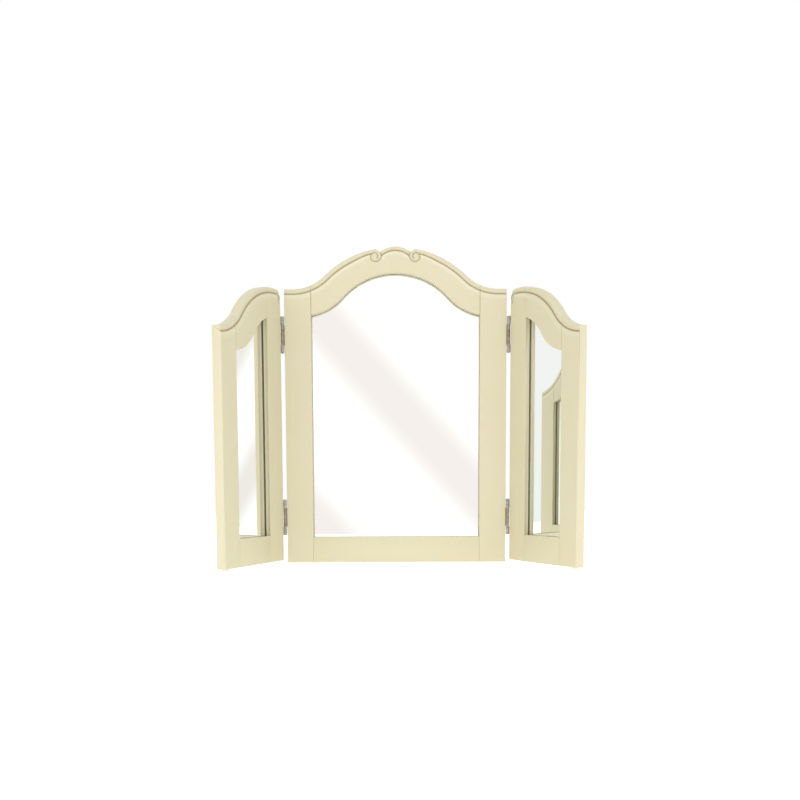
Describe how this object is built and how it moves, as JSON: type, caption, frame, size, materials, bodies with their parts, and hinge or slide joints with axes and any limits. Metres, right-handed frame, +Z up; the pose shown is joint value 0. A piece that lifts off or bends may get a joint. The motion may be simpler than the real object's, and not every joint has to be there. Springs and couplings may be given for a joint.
{
  "type": "folding dressing table mirror",
  "caption": "Free-standing dressing-table mirror: an arched, framed centre mirror with a narrower hinged mirror wing on each side.",
  "frame": {"origin": "centre of the flat underside of the centre panel", "axes": "+X to the viewer's right along the centre panel, +Y away from the viewer through the panel's thickness, +Z up"},
  "size_m": [0.586, 0.1948, 0.5672],
  "materials": {
    "painted_wood": "satin cream paint",
    "mirror_glass": "polished, silvered behind",
    "hardboard": "plain brown hardboard",
    "beech": "bare",
    "hinge_steel": "plated",
    "zinc_screw": "zinc plated",
    "nylon": "matte"
  },
  "bodies": {
    "centre_panel": {"centre_back_board": "hardboard", "centre_board_screws": "zinc_screw", "centre_bottom_rail": "painted_wood", "centre_dowels": "beech", "centre_left_stile": "painted_wood", "centre_mirror": "mirror_glass", "centre_right_stile": "painted_wood", "centre_top_rail": "painted_wood", "left_lower_hinge_centre_leaf": "hinge_steel", "left_lower_hinge_centre_screws": "zinc_screw", "left_upper_hinge_centre_leaf": "hinge_steel", "left_upper_hinge_centre_screws": "zinc_screw", "right_lower_hinge_centre_leaf": "hinge_steel", "right_lower_hinge_centre_screws": "zinc_screw", "right_upper_hinge_centre_leaf": "hinge_steel", "right_upper_hinge_centre_screws": "zinc_screw"},
    "left_wing": {"left_back_board": "hardboard", "left_board_screws": "zinc_screw", "left_bottom_rail": "painted_wood", "left_dowels": "beech", "left_glide": "nylon", "left_inner_stile": "painted_wood", "left_lower_hinge_pin": "hinge_steel", "left_lower_hinge_wing_leaf": "hinge_steel", "left_lower_hinge_wing_screws": "zinc_screw", "left_mirror": "mirror_glass", "left_outer_stile": "painted_wood", "left_top_rail": "painted_wood", "left_upper_hinge_pin": "hinge_steel", "left_upper_hinge_wing_leaf": "hinge_steel", "left_upper_hinge_wing_screws": "zinc_screw"},
    "right_wing": {"right_back_board": "hardboard", "right_board_screws": "zinc_screw", "right_bottom_rail": "painted_wood", "right_dowels": "beech", "right_glide": "nylon", "right_inner_stile": "painted_wood", "right_lower_hinge_pin": "hinge_steel", "right_lower_hinge_wing_leaf": "hinge_steel", "right_lower_hinge_wing_screws": "zinc_screw", "right_mirror": "mirror_glass", "right_outer_stile": "painted_wood", "right_top_rail": "painted_wood", "right_upper_hinge_pin": "hinge_steel", "right_upper_hinge_wing_leaf": "hinge_steel", "right_upper_hinge_wing_screws": "zinc_screw"}
  },
  "joints": [
    {"name": "left_wing_fold", "type": "hinge", "parent": "centre_panel", "child": "left_wing", "pos_m": [-0.2033, -0.0098, 0.25], "axis": [0, 0, 1], "range_deg": [-79.8, 110.2]},
    {"name": "right_wing_fold", "type": "hinge", "parent": "centre_panel", "child": "right_wing", "pos_m": [0.2033, -0.0098, 0.25], "axis": [0, 0, -1], "range_deg": [-74.6, 115.4]}
  ]
}
